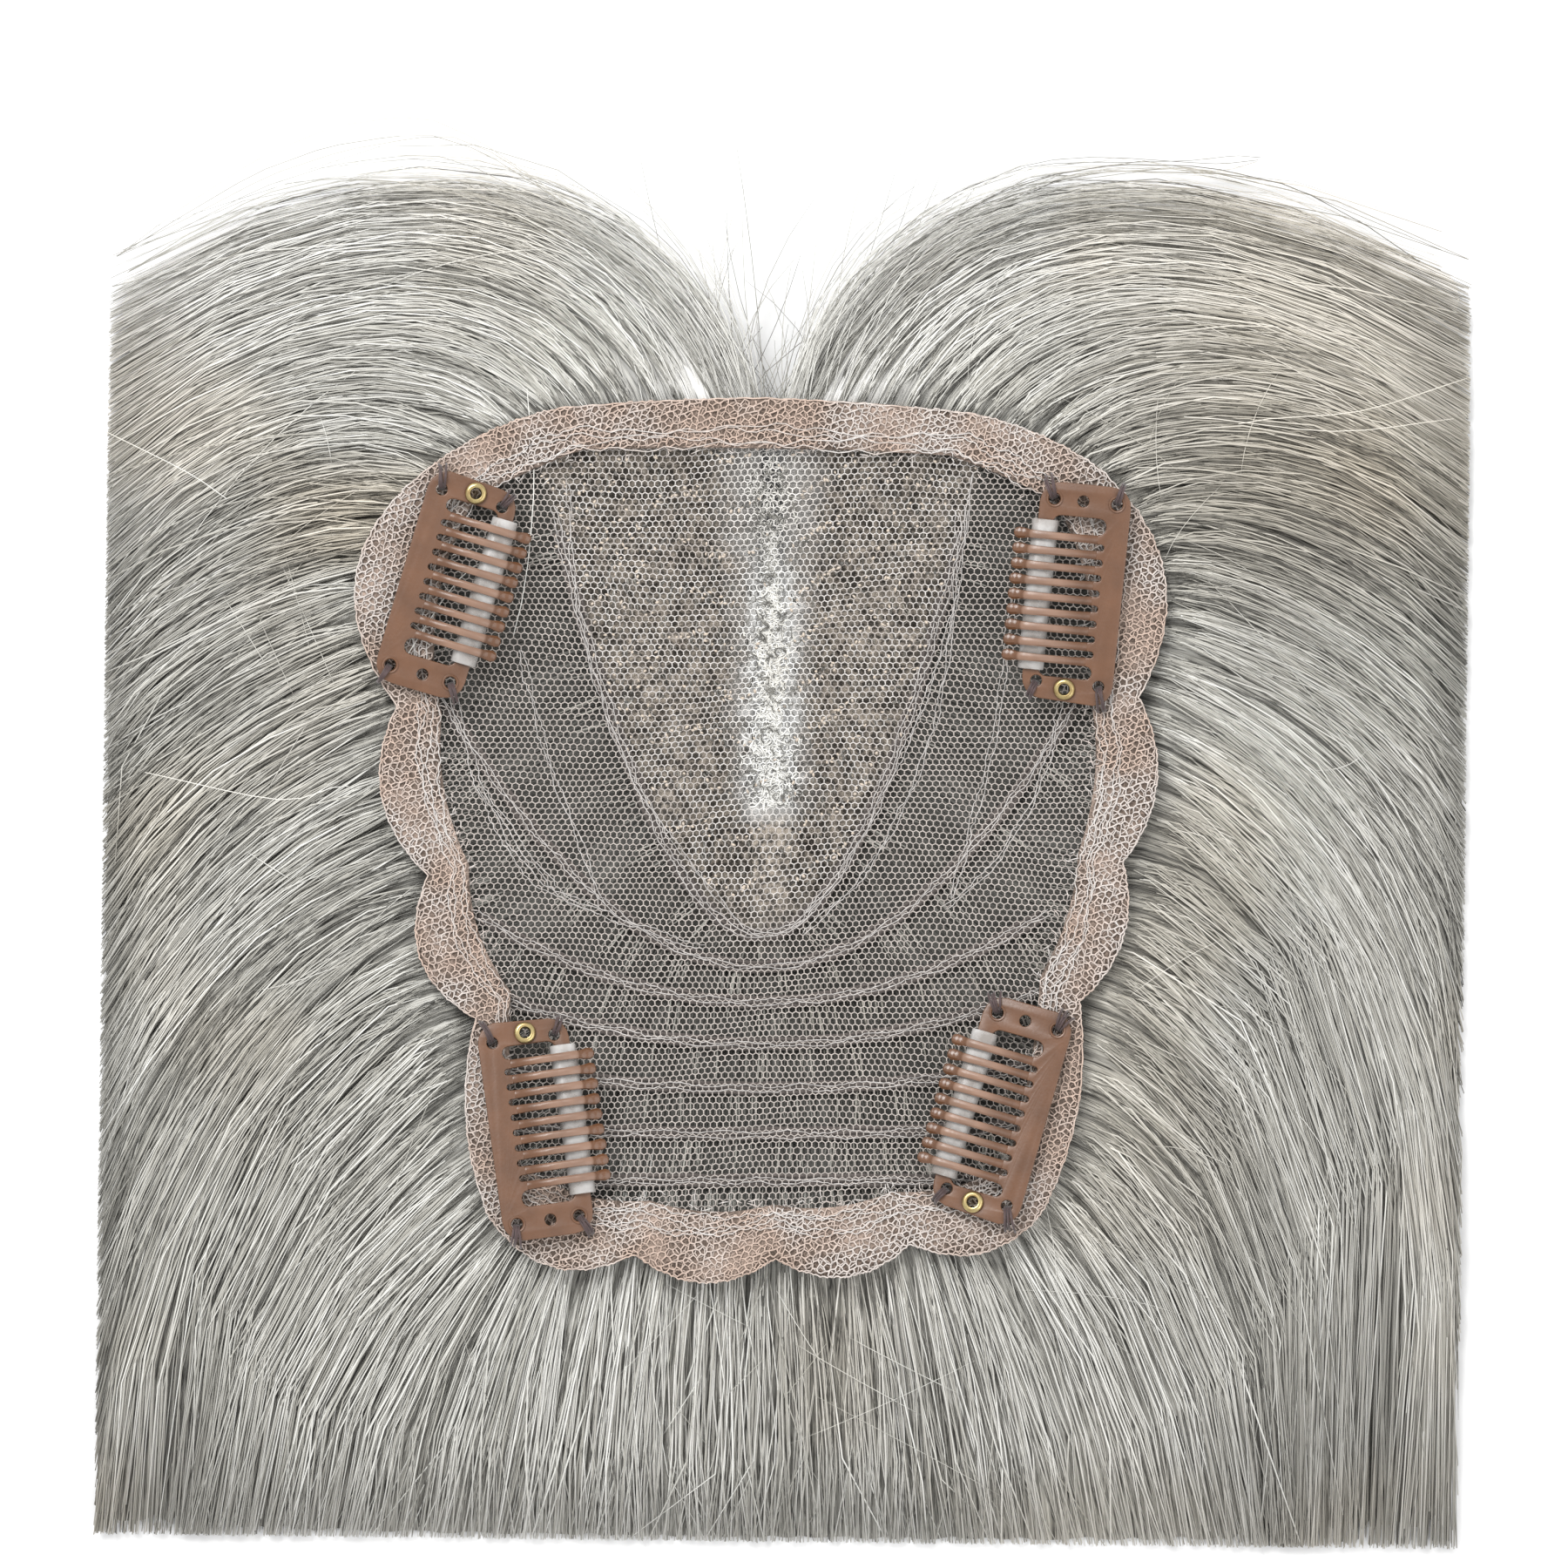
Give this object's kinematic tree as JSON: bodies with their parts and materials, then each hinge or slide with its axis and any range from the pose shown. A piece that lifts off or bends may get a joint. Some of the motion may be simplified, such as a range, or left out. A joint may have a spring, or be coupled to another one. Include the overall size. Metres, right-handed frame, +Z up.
{
  "type": "clip-in hair topper hairpiece, lying inside up",
  "caption": "Hair topper lying inside up: soft lace base with a scalloped edge, weft rows, snap combs, and silver-grey hair parted in the middle and fanned out.",
  "frame": {"origin": "centre of the footprint, on the surface it lies on", "axes": "+Z up, out of the inside of the base; +Y towards the front hairline; +X to the right as seen from above"},
  "size_m": [0.202, 0.2036, 0.022],
  "materials": {
    "lace": "matt",
    "edge_net": "matt",
    "weft": "matt",
    "hair": "satin",
    "lacquered_steel": "satin",
    "silicone": "gloss",
    "brass": "gloss"
  },
  "bodies": {
    "root": {"lace_base": "lace", "lace_edge": "edge_net", "weft_1": "weft", "weft_2": "weft", "weft_3": "weft", "weft_4": "weft", "weft_5": "weft", "weft_6": "weft", "weft_7": "weft", "front_hair_left": "hair", "front_hair_right": "hair", "side_hair_left": "hair", "side_hair_right": "hair", "back_hair": "hair", "clip_front_left": "lacquered_steel", "sleeve_front_left": "silicone", "eyelet_front_left": "brass", "clip_front_right": "lacquered_steel", "sleeve_front_right": "silicone", "eyelet_front_right": "brass", "clip_back_left": "lacquered_steel", "sleeve_back_left": "silicone", "eyelet_back_left": "brass", "clip_back_right": "lacquered_steel", "sleeve_back_right": "silicone", "eyelet_back_right": "brass"}
  },
  "joints": []
}
